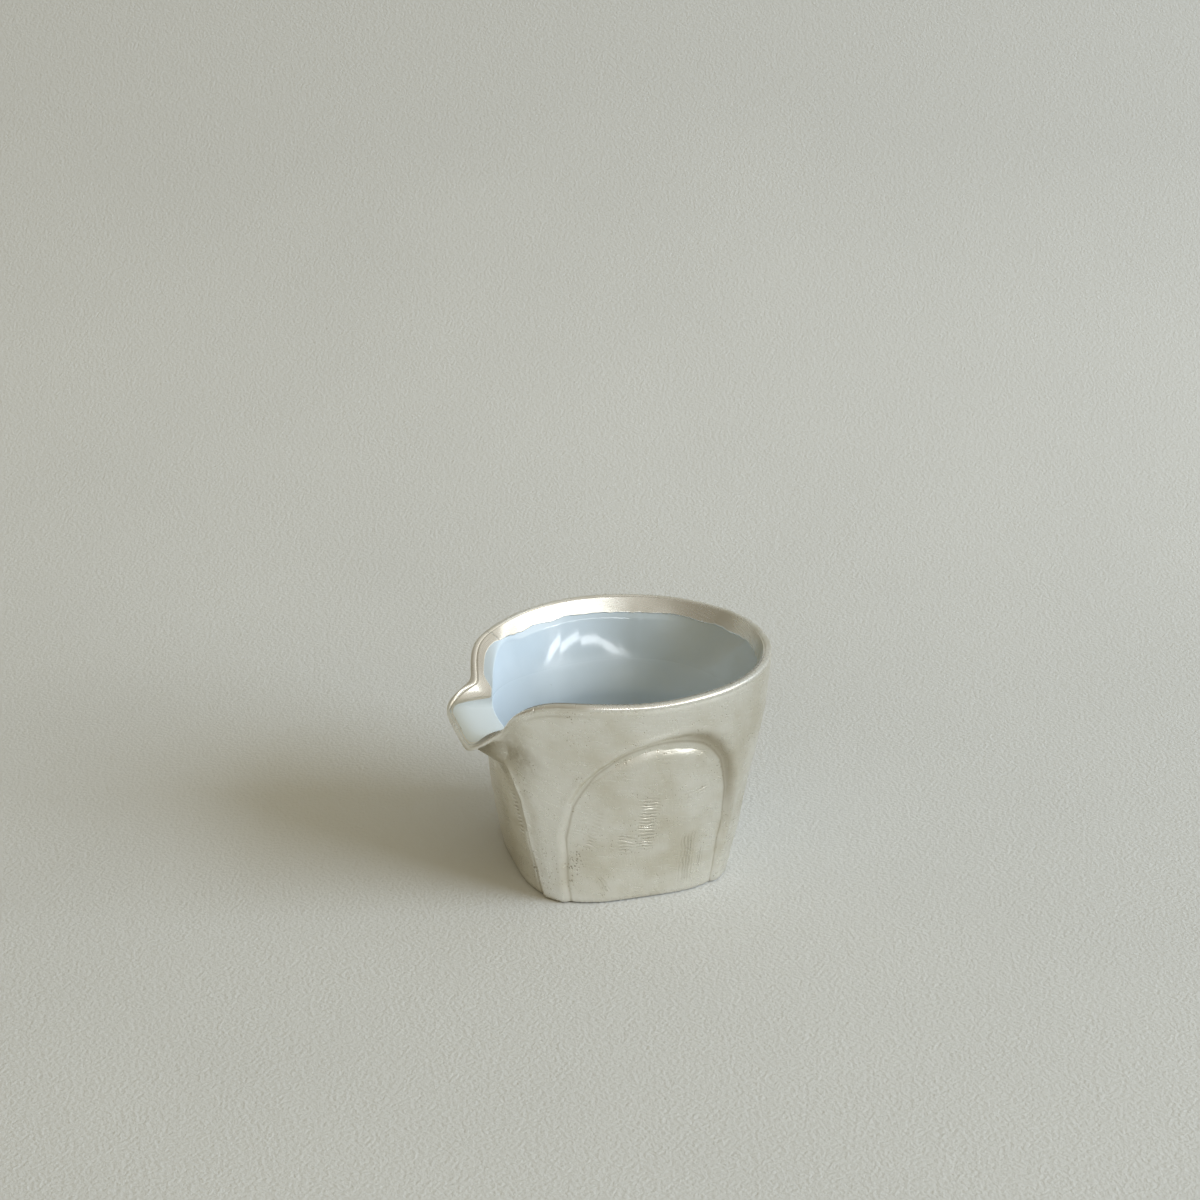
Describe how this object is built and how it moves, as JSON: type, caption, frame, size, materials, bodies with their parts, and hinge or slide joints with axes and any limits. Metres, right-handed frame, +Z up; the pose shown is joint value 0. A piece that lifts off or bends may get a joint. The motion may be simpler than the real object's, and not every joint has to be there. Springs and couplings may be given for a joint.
{
  "type": "tea serving pitcher",
  "caption": "Small handle-less tea serving pitcher: a glazed porcelain vessel in a hand-worked silver jacket with arched panels and a wide trough spout.",
  "frame": {"origin": "middle of the flat foot, on the table", "axes": "+Z up, +X the way the spout pours, +Y to the left of someone looking along the spout"},
  "size_m": [0.0923, 0.0804, 0.0646],
  "materials": {
    "porcelain": "pale blue-white gloss glaze",
    "chased_silver": "warm satin silver with fine tool marks",
    "polished_silver": "polished silver"
  },
  "bodies": {
    "root": {"porcelain_liner": "porcelain", "silver_jacket": "chased_silver", "silver_spout": "chased_silver", "silver_base": "chased_silver", "rim_binding": "polished_silver", "spout_binding": "polished_silver"}
  },
  "joints": []
}
